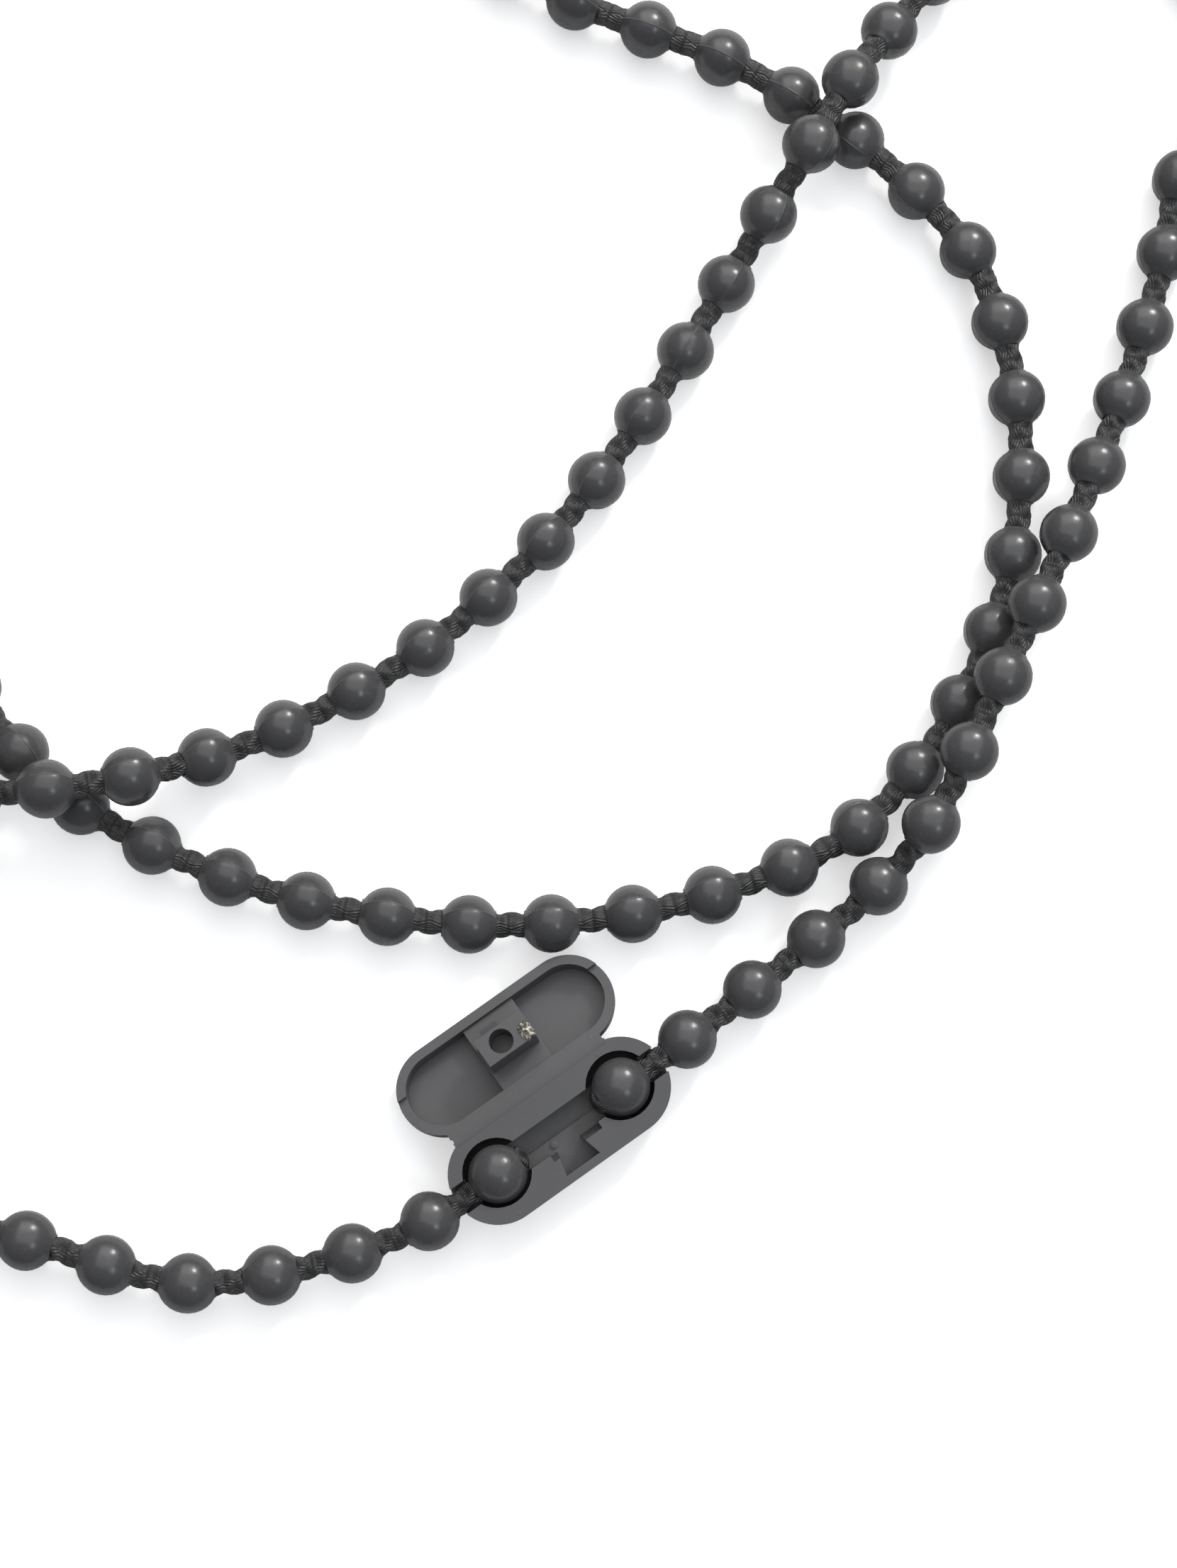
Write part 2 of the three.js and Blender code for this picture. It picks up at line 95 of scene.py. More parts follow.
ROUTE_TO_COIL = [
    # out of the connector, over the outer strand and round the top right
    (9.4, 6.6, 0.25), (18.9, 13.9, 0), (23.5, 17.8, 0.45), (27.2, 22.3, 2.25), (32.4, 32.9, 3.55),
    (37.7, 43.9, 2.75), (42.5, 55, 0.35), (45.8, 65.3, 0), (46.9, 70.6, 0), (50.2, 76.6, 0),
    (51.1, 83.8, 0), (46.3, 90.9, 0), (37, 92.6, 0), (30.2, 88.5, 0.1),
    # down across the middle, over the outer strand at both crossings
    (25.8, 83.3, 0.85), (22.3, 78.5, 2.95), (19, 73, 3.45), (13, 63.5, 0.15), (6.4, 52.9, 0),
    (-1, 43.2, 0), (-9.8, 35.3, 0), (-20.1, 29.3, 0), (-25.8, 27, 0.85), (-31.6, 25.2, 3.3),
    (-37.6, 24.3, 3.9), (-44, 24.3, 1.4),
    # turned back on itself at the left
    (-52.7, 25, 0), (-59.7, 29.5, 0), (-61.2, 37.7, 0), (-55.1, 43.2, 0), (-47.5, 40.4, 0),
    (-43.2, 32.8, 0), (-38.9, 27.1, 0),
    # outer strand: along the bottom, up the right and away to the top left
    (-34.2, 23.2, 0), (-23.6, 18.2, 0), (-11.9, 15.4, 0), (-0.1, 15, 0), (11.4, 17.1, 0),
    (21.9, 21.9, 0), (29.6, 31.2, 0), (33.8, 42.2, 0), (34.4, 54, 0), (31.1, 65.3, 0),
    (22.7, 74.1, 0), (13.1, 80.3, 0), (1.9, 84.7, 0), (-3.4, 87.6, 0), (-13, 91.8, 0),
    (-30, 95, 0), (-50, 97.1, 0),
]
ROUTE_FROM_COIL = [
    # up over the turns, out of the coil and back to the connector
    (-74.3, 86.9, 0.65), (-78.9, 85.8, 2.85), (-85.8, 82.5, 4.55), (-92.7, 76.1, 4.75),
    (-97.2, 67.6, 4.35), (-98.2, 58.6, 2.25), (-98.4, 50.5, 0.25), (-97.4, 40, 0),
    (-92.8, 24.1, 0), (-82.4, 9.6, 0), (-66.9, -0.8, 0), (-50.5, -4.6, 0), (-43.2, -6.4, 0),
    (-37.4, -7.9, 0), (-26, -10.8, 0), (-14.5, -8.6, 0), (-9.1, -6.3, 0.25),
]
COIL_CENTRE = (-69.8, 70)
COIL_RADIUS = 26.56
COIL_STEP = 4.6  # from one turn to the next
COIL_TURNS = 2
POINTS_PER_TURN = 12


def pocket_point(side):
    reach = side * POCKET_REACH
    across, along = reach * math.cos(CONNECTOR_ANGLE), reach * math.sin(CONNECTOR_ANGLE)
    return (across, along, POCKET_BEAD_HEIGHT)


def coil_points():
    for i in range(COIL_TURNS * POINTS_PER_TURN + 1):
        turn = i / POINTS_PER_TURN
        angle = math.pi / 2 + turn * 2 * math.pi
        radius = COIL_RADIUS - COIL_STEP * turn
        x = COIL_CENTRE[0] + radius * math.cos(angle)
        y = COIL_CENTRE[1] + radius * math.sin(angle)
        yield (x, y, BEAD_RADIUS)


def lying(points):
    return [(x, y, BEAD_RADIUS + lift) for x, y, lift in points]


route_points = [
    pocket_point(1), *lying(ROUTE_TO_COIL), *coil_points(), *lying(ROUTE_FROM_COIL),
    pocket_point(-1),
]
print(len(route_points), "route points")

# %% [markdown]
# ## One smooth curve through the points
# A Bezier curve with automatic handles would go through every point too. The part's solids lie
# along a centripetal Catmull-Rom curve, though, and the dressed chain has to match them, so the
# same curve is worked out here. Its length says how many beads fit, and their exact pitch.

# %% One smooth curve through the points
STEPS_PER_SPAN = 60


def catmull_rom(points, steps):
    """Dense points on the centripetal Catmull-Rom curve through the given ones."""
    p = np.array(points, float)
    p = np.vstack([2 * p[0] - p[1], p, 2 * p[-1] - p[-2]])
    gaps = np.sqrt(np.linalg.norm(np.diff(p, axis=0), axis=1))
    pieces = []
    for i in range(1, len(p) - 2):
        before, here, after = gaps[i - 1:i + 2]
        a, b, c, d = p[i - 1:i + 3]
        start = ((b - a) / before - (c - a) / (before + here) + (c - b) / here) * here
        end = ((c - b) / here - (d - b) / (here + after) + (d - c) / after) * here
        t = np.linspace(0, 1, steps, endpoint=False)[:, None]
        curve = b + start * t
        curve = curve + (3 * (c - b) - 2 * start - end) * t**2 + (2 * (b - c) + start + end) * t**3
        pieces.append(curve)
    return np.vstack([*pieces, p[-2]])


dense = catmull_rom(route_points, STEPS_PER_SPAN)
distances = np.concatenate([[0], np.cumsum(np.linalg.norm(np.diff(dense, axis=0), axis=1))])
route_length = distances[-1]
last_bead = round(route_length / BEAD_PITCH)
pitch = route_length / last_bead
print("route", round(route_length, 1), "mm,", last_bead + 1, "beads,", round(pitch, 3), "mm apart")

# %% [markdown]
# The chain needs more than a line to lie on, because each bead also has a side and a top. A curve
# object in Blender finds them with as little twist as it can. Here the side is always level, as
# on a chain that lies on a table, so that the turn of a parting line can be given from it.


# %% Directions along the curve
def on_route(s):
    """Centre, side and up directions of the chain at distances s, which may run past the ends."""
    inside = np.clip(s, 0, route_length)
    step = 0.05

    def place(at):
        return np.column_stack([np.interp(at, distances, dense[:, k]) for k in range(3)])

    ahead, behind = np.minimum(inside + step, route_length), np.maximum(inside - step, 0)
    tangent = place(ahead) - place(behind)
    tangent /= np.linalg.norm(tangent, axis=1)[:, None]
    centre = place(inside) + tangent * (s - inside)[:, None]
    side = np.cross([0, 0, 1], tangent)
    side /= np.linalg.norm(side, axis=1)[:, None]
    return centre, side, np.cross(tangent, side)


print("halfway round is", on_route(np.array([route_length / 2]))[0].round(1)[0], "mm")

# %% [markdown]
# ## The chain, made straight
# On the real chain a mould closes round a braided cord and casts the beads on it. The cheapest
# way in Blender would be an instanced sphere on a curve, but instances can't carry their own
# parting line. Here one bead is a profile spun about the cord, with the small collar that the
# mould leaves at each end and the bore that the cord fills. The cord between beads is spun too.

# %% A bead and a length of cord
BEAD_STEPS = 20  # round the cord
BALL_POINTS = 12  # from collar to collar
COLLAR_RADIUS = 1.04  # where it meets the ball
COLLAR_TIP_RADIUS = 0.98
COLLAR_LENGTH = 0.1
BORE = 0.86  # of the cord's radius, so that the cord closes it
CORD_STEPS = 20
CORD_POINTS = 13  # from bead to bead
CORD_HIDDEN = 1.65  # from a bead's centre, where the cord's mesh starts inside it


def new_object(name, mesh):
    made = bpy.data.objects.new(name, mesh)
    bpy.context.scene.collection.objects.link(made)
    return made


def spun(profile, steps, closed):
    """A mesh in millimetres: the profile, pairs of x and radius, turned once round the X axis."""
    bm = bmesh.new()
    verts = [bm.verts.new((x, 0, radius)) for x, radius in profile]
    pairs = list(zip(verts, verts[1:]))
    if closed:
        pairs.append((verts[-1], verts[0]))
    edges = [bm.edges.new(pair) for pair in pairs]
    bmesh.ops.spin(
        bm, geom=verts + edges, cent=(0, 0, 0), axis=(1, 0, 0),
        angle=2 * math.pi, steps=steps, use_merge=True,
    )
    bmesh.ops.recalc_face_normals(bm, faces=bm.faces)
    mesh = bpy.data.meshes.new("spun")
    bm.to_mesh(mesh)
    bm.free()
    return mesh


def bead_profile():
    """Bore, collar, ball and the other collar and bore."""
    start = math.asin(COLLAR_RADIUS / BEAD_RADIUS)
    angles = np.linspace(math.pi - start, start, BALL_POINTS)
    ball = [(BEAD_RADIUS * math.cos(a), BEAD_RADIUS * math.sin(a)) for a in angles]
    tip = ball[-1][0] + COLLAR_LENGTH
    bore = CORD_RADIUS * BORE
    return [(-tip, bore), (-tip, COLLAR_TIP_RADIUS), *ball, (tip, COLLAR_TIP_RADIUS), (tip, bore)]


def cord_profile(start, end, points):
    """A stretch of cord, in short steps so that it can bend and carry its braid."""
    return [(x, CORD_RADIUS) for x in np.linspace(start, end, points)]


bead = spun(bead_profile(), BEAD_STEPS, closed=True)
cord_between = cord_profile(CORD_HIDDEN, pitch - CORD_HIDDEN, CORD_POINTS)
cord_length = spun(cord_between, CORD_STEPS, closed=False)
print("a bead has", len(bead.polygons), "faces")

# %% [markdown]
# Both are now repeated at the pitch along X, the way a chain comes off the machine. An Array
# modifier would do it with fewer lines. Joined copies in one bmesh let each face carry its
# material's number from the start, and leave room for the two cut ends of the cord.

# %% Repeat them along X
BEAD_MATERIAL, CORD_MATERIAL = 0, 1  # numbers of the chain's two materials
CORD_TAIL = 2.5  # cut end past the last bead's centre
TAIL_POINTS = 5
CUT_START = 0.4  # from the tip, where the tail stops and the rounded end takes over
CUT_MIDDLE = 0.45  # from the tip to the middle of the rounded end
CUT_RADIUS = 0.98  # of the cord's radius
CUT_FLATNESS = 0.5


def add_copy(bm, mesh, x, material_index):
    before = len(bm.verts), len(bm.faces)
    bm.from_mesh(mesh)
    bm.verts.ensure_lookup_table()
    bm.faces.ensure_lookup_table()
    bmesh.ops.translate(bm, vec=(x, 0, 0), verts=bm.verts[before[0]:])
    for face in bm.faces[before[1]:]:
        face.material_index = material_index
        face.smooth = True


def cut_end(bm, x, towards):
    """A cut, slightly melted end of the cord: a ball flattened along the cord."""
    radius = CORD_RADIUS * CUT_RADIUS
    ball = bmesh.ops.create_uvsphere(bm, u_segments=16, v_segments=8, radius=radius)
    tip = ball["verts"]
    bmesh.ops.scale(bm, vec=(1, 1, CUT_FLATNESS), verts=tip)
    bmesh.ops.rotate(bm, cent=(0, 0, 0), matrix=Matrix.Rotation(math.pi / 2, 3, "Y"), verts=tip)
    bmesh.ops.translate(bm, vec=(x - towards * CUT_MIDDLE, 0, 0), verts=tip)
    for vert in tip:
        for face in vert.link_faces:
            face.material_index = CORD_MATERIAL
            face.smooth = True


straight = bmesh.new()
for i in range(last_bead + 1):
    add_copy(straight, bead, i * pitch, BEAD_MATERIAL)
for i in range(last_bead):
    add_copy(straight, cord_length, i * pitch, CORD_MATERIAL)
tail_end = CORD_TAIL - CUT_START
tail = spun(cord_profile(CORD_HIDDEN, tail_end, TAIL_POINTS), CORD_STEPS, closed=False)
add_copy(straight, tail, last_bead * pitch, CORD_MATERIAL)
add_copy(straight, tail, -CORD_HIDDEN - tail_end, CORD_MATERIAL)
cut_end(straight, -CORD_TAIL, -1)
cut_end(straight, last_bead * pitch + CORD_TAIL, 1)
chain_mesh = bpy.data.meshes.new("bead_chain")
straight.to_mesh(chain_mesh)
straight.free()
print("the straight chain has", len(chain_mesh.polygons), "faces")

# %% [markdown]
# ## Lay it along the route
# A Curve modifier could bend the straight chain, but it turns the section with the curve's tilt,
# and the twist matters here: the parting line of each bead shows in some strands and hides in
# others. So each point is moved by hand. Its x becomes the distance along the route, and its y
# and z stay its distances from the middle of the cord. Where a point was on its own straight bead
# is kept as an attribute, so that a material can follow the bead however the chain is bent.

# %% Braid the cord and bend the chain
STRANDS = 3  # in each of the two sets that are braided together
BRAID_DEPTH = 0.15  # of the cord's radius
BRAID_PERIOD = 1.7  # along the cord, until the pattern repeats
BRAID_LEVEL = 0.55  # height on a strand at which the cord keeps its radius
TWIST = [  # bead number, and the angle of its parting line from the side, in degrees
    (0, 10), (22, 15), (28, 104), (34, 118), (40, 108), (48, 66), (57, 61), (61, 20), (67, 15),
    (70, 78), (74, 84), (110, 40), (150, 20), (163, 10),
]


def braided(x, y, z):
    """Scale of the cord's radius: two sets of strands that pass over each other."""
    around = np.arctan2(z, y)
    turn = 2 * math.pi * x / BRAID_PERIOD
    strands = np.maximum(np.cos(STRANDS * around + turn), np.cos(STRANDS * around - turn))
    return 1 + BRAID_DEPTH * (strands - BRAID_LEVEL)


count = len(chain_mesh.vertices)
flat = np.empty(count * 3)
chain_mesh.vertices.foreach_get("co", flat)
is_cord = np.zeros(count, bool)
for face in chain_mesh.polygons:
    if face.material_index == CORD_MATERIAL:
        is_cord[list(face.vertices)] = True
x, y, z = flat.reshape(-1, 3).T
swell = np.where(is_cord, braided(x, y, z), 1)
y, z = y * swell, z * swell
centre, side, up = on_route(x)
laid = centre + side * y[:, None] + up * z[:, None]
chain_mesh.vertices.foreach_set("co", (laid * MM).ravel())
print("laid", count, "points")

# %% [markdown]
# The attributes are written to the points while their straight places are still at hand. A UV map
# would do as well, but it has only two numbers, and a pattern in a solid ball needs all three.

# %% Keep each point's place on its own bead
PATH_STEP = 3  # between the points that tell the frame where the cord lies

bead_number = np.clip(np.round(x / pitch), 0, last_bead)
twist = np.radians(np.interp(bead_number, *zip(*TWIST)))
own = np.column_stack([
    x - bead_number * pitch,
    y * np.cos(twist) + z * np.sin(twist),
    z * np.cos(twist) - y * np.sin(twist),
])
places = chain_mesh.attributes.new("own_place", "FLOAT_VECTOR", "POINT")
places.data.foreach_set("vector", own.ravel())
for name, values in (("bead_number", bead_number), ("along", x)):
    numbers = chain_mesh.attributes.new(name, "FLOAT", "POINT")
    numbers.data.foreach_set("value", values)
chain_mesh.update()
bead_chain = new_object("bead_chain", chain_mesh)

tip_to_tip = np.arange(-CORD_TAIL, route_length + CORD_TAIL, PATH_STEP)
path = on_route(np.append(tip_to_tip, route_length + CORD_TAIL))[0] * MM
chain_nodes = [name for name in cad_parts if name.startswith("chain_")]
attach(bead_chain, "base_and_chain")
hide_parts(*chain_nodes)
print("it stands for", len(chain_nodes), "solids")

# %% [markdown]
# ## The connector
# The connector is one small moulding. Its two halves come straight from the part's solids, whose
# sizes are exact but whose edges are knife-sharp. A mould never gives such an edge. Each half is
# copied, its triangles are joined up again into flat faces, and every sharp edge gets a tiny
# round. A Bevel modifier could round them, but only once the triangles are gone. Edges that are
# still sharp afterwards are marked, so that the shading of one flat face doesn't run into the next.

# %% Round the edges of a moulding
EDGE_ROUND = 0.07
SAME_POINT = 0.002
SAME_PLANE = math.radians(0.5)
SHARP_EDGE = math.radians(30)
SMOOTH_EDGE = math.radians(35)


def moulding(name, node, width=EDGE_ROUND):
    bm = bmesh.new()
    bm.from_mesh(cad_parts[node].data)
    bmesh.ops.remove_doubles(bm, verts=bm.verts, dist=SAME_POINT * MM)
    bmesh.ops.dissolve_degenerate(bm, edges=bm.edges, dist=SAME_POINT * MM)
    bmesh.ops.dissolve_limit(bm, angle_limit=SAME_PLANE, verts=bm.verts, edges=bm.edges)
    sharp = [e for e in bm.edges if e.is_manifold and e.calc_face_angle() > SHARP_EDGE]
    bmesh.ops.bevel(
        bm, geom=sharp, offset=width * MM, offset_type="OFFSET", segments=2, profile=0.5,
        affect="EDGES", clamp_overlap=True, material=-1,
    )
    for face in bm.faces:
        face.smooth = True
    for edge in bm.edges:
        edge.smooth = edge.is_manifold and edge.calc_face_angle() < SMOOTH_EDGE
    mesh = bpy.data.meshes.new(name)
    bm.to_mesh(mesh)
    bm.free()
    made = new_object(name, mesh)
    made.modifiers.new("flat faces stay flat", "WEIGHTED_NORMAL").keep_sharp = True
    print(name, len(mesh.polygons), "faces")
    return made


base = moulding("connector_base_moulded", "connector_base")
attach(base, "base_and_chain")
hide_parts("connector_base")

lid = moulding("connector_lid_moulded", "connector_lid")
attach(lid, "lid")
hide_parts("connector_lid")

# %% [markdown]
# The spare length of chain is held in its coil by a small band, which is rounded in the same way.
# The chain is a cord whose two ends both go back into the connector, and the band is the one
# piece on it.

# %% The tie, and the length of the cord
TIE_EDGE_ROUND = 0.1

tie = moulding("storage_tie", "coil_tie", TIE_EDGE_ROUND)
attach(tie, "base_and_chain")
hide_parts("coil_tie")

print("cord", round(route_length + 2 * CORD_TAIL, 1), "mm from cut to cut")

# %% [markdown]
# ## The living hinge
# Base and lid hang together by a film a few tenths of a millimetre thick, moulded in one with
# them. It has to bend when the lid closes, so it is a strip with several rows of points across
# the hinge line, and it is attached to neither body. Its borders
# dive just under the surfaces of the base and the lid, so that no edge of it shows.

# %% Where the hinge is
HINGE_Y = 3.7  # from the connector's centre line
HINGE_Z = 3.8
PARTING_HEIGHT = 3.7  # top of the base
LID_DROOP = math.radians(11)  # how far the open lid hangs below level


def connector_matrix():
    """From millimetres along, across and above the connector to the part's frame."""
    return Matrix.Scale(MM, 4) @ Matrix.Rotation(CONNECTOR_ANGLE, 4, "Z")


def lid_matrix():
    """The same for the lid: from its hinge line, with the lid's rim level."""
    hinge = Matrix.Translation((0, HINGE_Y, HINGE_Z))
    return connector_matrix() @ hinge @ Matrix.Rotation(-LID_DROOP, 4, "X")


print("the lid hangs", round(math.degrees(LID_DROOP)), "degrees below level")

# %% [markdown]
# The film is its own section, drawn across the hinge and extruded along it in equal steps. A
# plane with a Solidify modifier is the usual way. The bmesh operator of that name thickens it at
# once, and so the film is one finished mesh.

# %% Hinge film
FILM_START = -6.7  # along the connector, from its middle
FILM_LENGTH = 13
FILM_STEPS = 8
FILM_THICKNESS = 0.2
FILM_SHARP = math.radians(40)


def film_section():
    """Across the hinge: y and z of the film's top."""
    drop = PARTING_HEIGHT - HINGE_Z
    near = [(-0.62, drop - 0.06), (-0.52, drop + 0.002), (-0.3, drop + 0.004), (-0.14, drop)]
    bend = [(-0.05, drop - 0.012), (0.09, drop - 0.025), (0.24, drop - 0.045)]
    far = [(0.34, drop), (0.5, drop + 0.004), (0.72, drop + 0.002), (0.82, drop - 0.06)]
    cos, sin = math.cos(LID_DROOP), math.sin(LID_DROOP)
    turned = [(y * cos + z * sin, z * cos - y * sin) for y, z in far]
    return [(HINGE_Y + y, HINGE_Z + z) for y, z in near + bend + turned]


bm = bmesh.new()
section = [bm.verts.new((FILM_START, y, z)) for y, z in film_section()]
line = [bm.edges.new(pair) for pair in zip(section, section[1:])]
for i in range(FILM_STEPS):
    swept = bmesh.ops.extrude_edge_only(bm, edges=line)["geom"]
    moved = [v for v in swept if isinstance(v, bmesh.types.BMVert)]
    edges = [e for e in swept if isinstance(e, bmesh.types.BMEdge)]
    line = [e for e in edges if all(v in moved for v in e.verts)]
    bmesh.ops.translate(bm, vec=(FILM_LENGTH / FILM_STEPS, 0, 0), verts=moved)
bmesh.ops.recalc_face_normals(bm, faces=bm.faces)
if sum(face.normal.z for face in bm.faces) < 0:
    bmesh.ops.reverse_faces(bm, faces=bm.faces)
bmesh.ops.solidify(bm, geom=bm.faces, thickness=FILM_THICKNESS)
bmesh.ops.recalc_face_normals(bm, faces=bm.faces)
for face in bm.faces:
    face.smooth = True
for edge in bm.edges:
    edge.smooth = edge.calc_face_angle() < FILM_SHARP
film_mesh = bpy.data.meshes.new("hinge_film")
bm.to_mesh(film_mesh)
bm.free()
film_mesh.transform(connector_matrix())
film = new_object("hinge_film", film_mesh)
film.modifiers.new("flat faces stay flat", "WEIGHTED_NORMAL").keep_sharp = True
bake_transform(film)
print("film spans", FILM_LENGTH, "mm of hinge")

# %% [markdown]
# ## Marks of the mould
# Pins push the moulding out of the mould and leave a faint round edge on the floor of the lid's
# recess, at each side of the post. Bump could draw them, but a ring that really stands up also
# shows from the side. A disc that is inset twice, up and down again, costs very few faces.

# %% Ejector marks
LID_MIDDLE = 3.675  # from the hinge line to the lid's centre line
RECESS_FLOOR = -1.9  # from the hinge line, with the rim level
MARK_RADIUS = 1.2
MARK_LIFT = 0.004  # off the floor, so that the two surfaces don't coincide
RING_UP = {"thickness": 0.1, "depth": 0.05}
RING_DOWN = {"thickness": 0.12, "depth": -0.045}
MARK_PLACES = {"ejector_mark_left": -4.7, "ejector_mark_right": 5.7}


def ejector_mark(x):
    bm = bmesh.new()
    bmesh.ops.create_circle(bm, cap_ends=True, segments=32, radius=MARK_RADIUS)
    bmesh.ops.inset_region(bm, faces=bm.faces, **RING_UP)
    inner = [f for f in bm.faces if len(f.verts) > 4]
    bmesh.ops.inset_region(bm, faces=inner, **RING_DOWN)
    bmesh.ops.translate(bm, vec=(x, LID_MIDDLE, RECESS_FLOOR + MARK_LIFT), verts=bm.verts)
    for face in bm.faces:
        face.smooth = True
    mesh = bpy.data.meshes.new("mark")
    bm.to_mesh(mesh)
    bm.free()
    mesh.transform(lid_matrix())
    return mesh


ejector_marks = []
for name, x in MARK_PLACES.items():
    mark = new_object(name, ejector_mark(x))
    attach(mark, "lid")
    ejector_marks.append(mark)
print(len(ejector_marks), "ejector marks")

# %% [markdown]
# The post has a rough corner where the plastic tore. A Displace modifier with a texture would
# roughen it. Here a ball's points are pushed out by noise from mathutils, which has no seed to
# set and gives the same lump each time. The ball is flattened and sunk into the post's tip, and
# its points are held back where the lid, when it closes, needs the room.

# %% Torn corner of the post
POST_TIP = 2.1  # from the hinge line, with the rim level
TEAR_MIDDLE = (2.1, 3.14)
TEAR_SIZE = (0.68, 0.95, 0.42)
TEAR_SINK = 0.01
TEAR_LIMIT = (2.57, 2.45)  # as far as the base leaves room when the lid is shut
LUMP = 0.6  # of the ball's radius, before the ridges and crumbs are added
RIDGE_SCALE, RIDGE_HEIGHT = 1.7, 0.14
RIDGE_SHAPE = (1, 2.1, 4, 1, 2)  # dimension, lacunarity, octaves, offset and gain
CRUMB_SCALE, CRUMB_HEIGHT = 8, 0.1


def torn_corner():
    """A lump with ridges, sunk into the post's tip so that only its rough top shows."""
    bm = bmesh.new()
    bmesh.ops.create_icosphere(bm, subdivisions=5, radius=1)
    for vert in bm.verts:
        at = vert.co
        ridge = noise.ridged_multi_fractal(at * RIDGE_SCALE, *RIDGE_SHAPE) * RIDGE_HEIGHT
        crumb = noise.noise(at * CRUMB_SCALE) * CRUMB_HEIGHT
        vert.co = at * (LUMP + ridge + crumb)
    bmesh.ops.scale(bm, vec=TEAR_SIZE, verts=bm.verts)
    bmesh.ops.translate(bm, vec=(*TEAR_MIDDLE, POST_TIP - TEAR_SINK), verts=bm.verts)
    for vert in bm.verts:
        vert.co.x = min(vert.co.x, TEAR_LIMIT[0])
        vert.co.y = max(vert.co.y, TEAR_LIMIT[1])
    for face in bm.faces:
        face.smooth = True
    mesh = bpy.data.meshes.new("tear")
    bm.to_mesh(mesh)
    bm.free()
    mesh.transform(lid_matrix())
    return mesh


tear = new_object("torn_corner", torn_corner())
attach(tear, "lid")
print("the torn corner has", len(tear.data.polygons), "faces")

# %% [markdown]
# ## Materials
# A material is a graph of nodes. Writing one node at a time hides the sum it works out, so a small
# class lets a socket be used in ordinary arithmetic: each sign adds a Math node. Everything else
# goes through one method, node(), that makes a node of any type, sets it and joins it up.


# %% A way to write shader maths
class Wire:
    """One output of a node. Arithmetic on it adds Math nodes to the same graph."""

    def __init__(self, graph, socket):
        self.graph = graph
        self.socket = socket

    def maths(self, operation, other=0.0):
        return self.graph.node("ShaderNodeMath", {"operation": operation}, {0: self, 1: other})

    def __add__(self, other):
        return self.maths("ADD", other)

    def __sub__(self, other):
        return self.maths("SUBTRACT", other)

    def __rsub__(self, other):
        settings = {"operation": "SUBTRACT"}
        return self.graph.node("ShaderNodeMath", settings, {0: other, 1: self})

    def __mul__(self, other):
        return self.maths("MULTIPLY", other)

    __radd__ = __add__
    __rmul__ = __mul__

    def between(self, low, high):
        """0 up to the low value, rising to 1 at the high one."""
        sockets = {"Value": self, "From Min": low, "From Max": high}
        return self.graph.node("ShaderNodeMapRange", {"clamp": True}, sockets)

    def below(self, limit, blur):
        """1 where this is under the limit, falling to 0 over the blur."""
        ranged = {"From Min": limit, "From Max": limit + blur, "To Min": 1.0, "To Max": 0.0}
        return self.graph.node("ShaderNodeMapRange", {"clamp": True}, {"Value": self, **ranged})


class Graph:
    """The nodes of a material or of the world."""

    def __init__(self, tree):
        self.tree = tree

    def node(self, kind, settings=None, inputs=None, output=0):
        made = self.tree.nodes.new(kind)
        for key, value in (settings or {}).items():
            setattr(made, key, value)
        for key, value in (inputs or {}).items():
            self.join(made.inputs[key], value)
        return Wire(self, made.outputs[output])

    def join(self, socket, value):
        if isinstance(value, Wire):
            self.tree.links.new(value.socket, socket)
        else:
            socket.default_value = value

    def attribute(self, name, output):
        return self.node("ShaderNodeAttribute", {"attribute_name": name}, output=output)

    def split(self, vector):
        """The x, y and z of a vector."""
        first = self.node("ShaderNodeSeparateXYZ", inputs={0: vector})
        return [Wire(self, socket) for socket in first.socket.node.outputs]

    def noise(self, where, scale, detail=2.0, roughness=0.5):
        sockets = {"Vector": where, "Scale": scale, "Detail": detail, "Roughness": roughness}
        return self.node("ShaderNodeTexNoise", inputs=sockets, output="Fac")

    def mix(self, factor, first, second):
        """One colour into another. A Mix node's colours are its sockets 6 and 7."""
        sockets = {0: factor, 6: first, 7: second}
        return self.node("ShaderNodeMix", {"data_type": "RGBA"}, sockets, 2)

    def bump(self, height, strength, distance):
        sockets = {"Height": height, "Strength": strength, "Distance": distance * MM}
        return self.node("ShaderNodeBump", inputs=sockets)


class Finish(Graph):
    """A material under construction, with one Principled shader."""

    def __init__(self, name, **constants):
        self.material = bpy.data.materials.new(name)
        self.material.use_nodes = True
        super().__init__(self.material.node_tree)
        self.shader = self.tree.nodes["Principled BSDF"]
        for socket, value in constants.items():
            self.set(socket, value)

    def set(self, socket, value):
        self.join(self.shader.inputs[socket], value)

    def put_on(self, *pieces):
        for piece in pieces:
            piece.data.materials.append(self.material)
        print(self.material.name, "has", len(self.tree.nodes), "nodes")


# %% [markdown]
# ## Bead plastic
# The beads are dark, evenly coloured and satin: smooth enough to show the lamp as a small bright
# spot and soft enough to spread the rest of it into a broad sheen. A fine raised line runs round
# each from collar to collar where the mould closed, and the two halves fall away a little from
# it. All of it is drawn in the bead's own place, and the bead's number shifts the noise, so that
# no two beads have the same marks.

# %% Bead plastic
BEAD_COLOUR = (0.066, 0.066, 0.069, 1)
BEAD_WORN = (0.088, 0.088, 0.088, 1)
PARTING_WIDTH = 0.03  # half of the line, in millimetres

